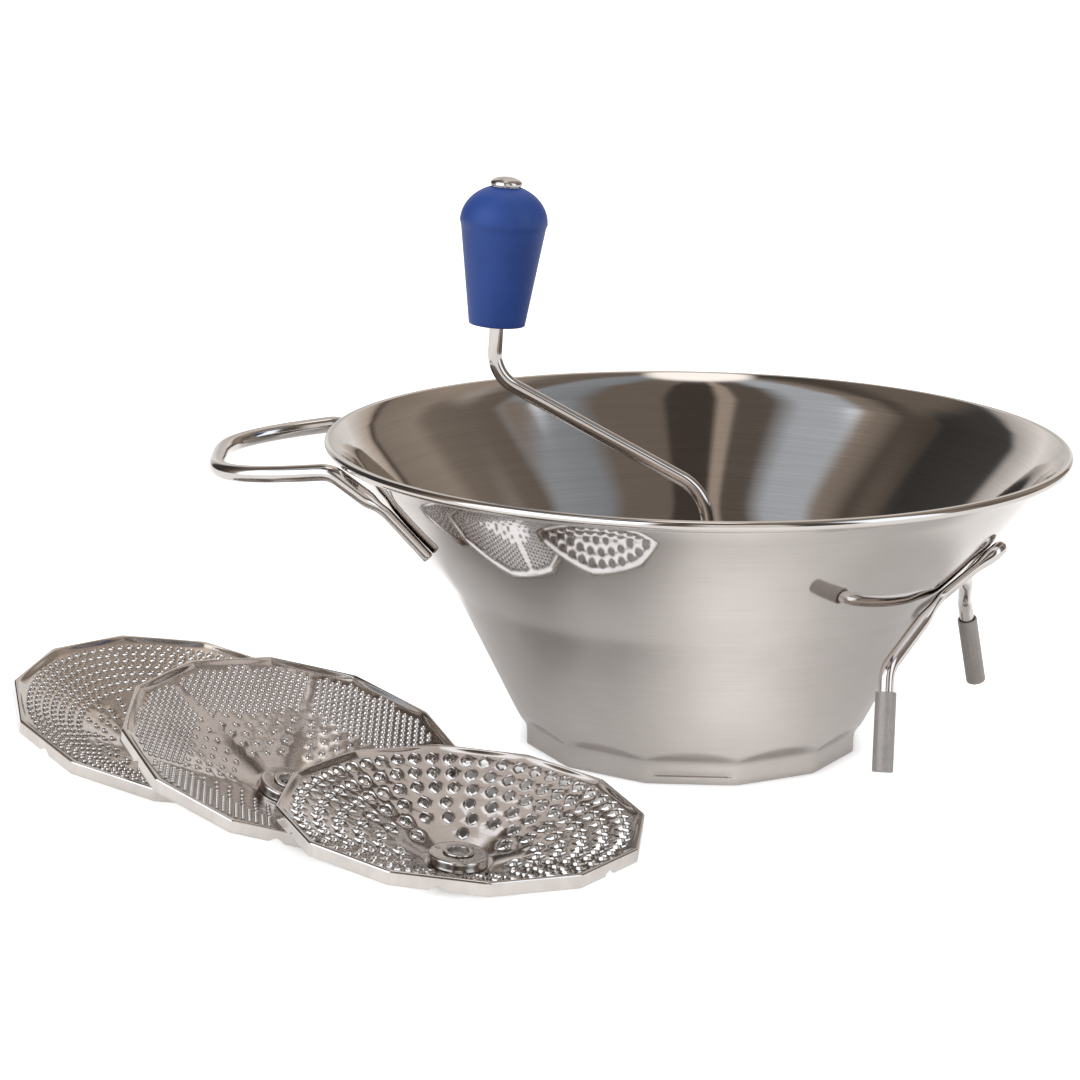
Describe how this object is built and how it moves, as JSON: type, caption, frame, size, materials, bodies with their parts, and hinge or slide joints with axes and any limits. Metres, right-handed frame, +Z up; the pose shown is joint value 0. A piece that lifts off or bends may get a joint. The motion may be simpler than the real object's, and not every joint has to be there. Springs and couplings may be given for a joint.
{
  "type": "food mill",
  "caption": "Hand cranked food mill with a flared steel bowl, wire handle loop, wire pot support, sprung scraper blade and loose perforated disks.",
  "frame": {"origin": "centre of the base mouth, level with the foot of the base ring that stands on the table", "axes": "+Z up along the crank's turning axis, -X towards the handle loop, the disks lie at -X -Y"},
  "size_m": [0.4351, 0.3947, 0.2368],
  "materials": {
    "polished_steel": "mirror polished stainless steel sheet, brushed inside",
    "wire_steel": "polished stainless steel wire",
    "satin_steel": "satin stainless steel",
    "disk_steel": "bright pressed stainless steel",
    "spring_steel": "bright drawn spring steel",
    "brass": "turned brass",
    "blue_plastic": "matte blue moulded plastic",
    "grey_plastic": "translucent grey soft tube"
  },
  "bodies": {
    "bowl": {"bowl": "polished_steel", "handle_loop": "wire_steel", "support_stirrup": "satin_steel", "foot_sleeve_near": "grey_plastic", "foot_sleeve_far": "grey_plastic"},
    "bar": {"retaining_bar": "satin_steel", "bar_bush": "brass", "spring_washer_upper": "satin_steel", "pressure_spring": "spring_steel"},
    "washer": {"spring_washer_lower": "satin_steel"},
    "rotor": {"crank": "wire_steel", "blade_hub": "satin_steel", "scraper_blade": "polished_steel", "hub_pin": "satin_steel", "lock_pin": "satin_steel", "knob_screw": "wire_steel", "knob_washer": "satin_steel", "knob_collar": "satin_steel"},
    "knob": {"knob": "blue_plastic"},
    "disk_medium": {"disk_medium": "disk_steel", "hub_cap_medium": "satin_steel", "eyelet_medium": "satin_steel"},
    "disk_fine": {"disk_fine": "disk_steel", "hub_cap_fine": "satin_steel", "eyelet_fine": "satin_steel"},
    "disk_coarse": {"disk_coarse": "disk_steel", "hub_cap_coarse": "satin_steel", "eyelet_coarse": "satin_steel"}
  },
  "joints": [
    {"name": "bar_turn", "type": "hinge", "parent": "bowl", "child": "bar", "pos_m": [0, 0, 0], "axis": [0, 0, 1], "range_deg": [0, 15]},
    {"name": "rotor_lift", "type": "slide", "parent": "bar", "child": "washer", "axis": [0, 0, 1], "range_m": [0, 0.004], "stiffness_N_per_m": 2500, "springref_m": -0.002, "deforming": ["pressure_spring"]},
    {"name": "crank_spin", "type": "hinge", "parent": "washer", "child": "rotor", "pos_m": [0, 0, 0], "axis": [0, 0, 1], "continuous": true},
    {"name": "knob_spin", "type": "hinge", "parent": "rotor", "child": "knob", "pos_m": [-0.08515, 0.00297, 0.1545], "axis": [0.0575, -0.002, 0.9983], "continuous": true},
    {"name": "disk_medium_lift", "type": "slide", "parent": "bowl", "child": "disk_medium", "axis": [-0.4507, -0.6509, 0.6109], "range_m": [0, 0.12]},
    {"name": "disk_fine_lift", "type": "slide", "parent": "disk_medium", "child": "disk_fine", "axis": [-0.4507, -0.6509, 0.6109], "range_m": [0, 0.12]},
    {"name": "disk_coarse_lift", "type": "slide", "parent": "disk_fine", "child": "disk_coarse", "axis": [-0.4507, -0.6509, 0.6109], "range_m": [0, 0.12]}
  ]
}
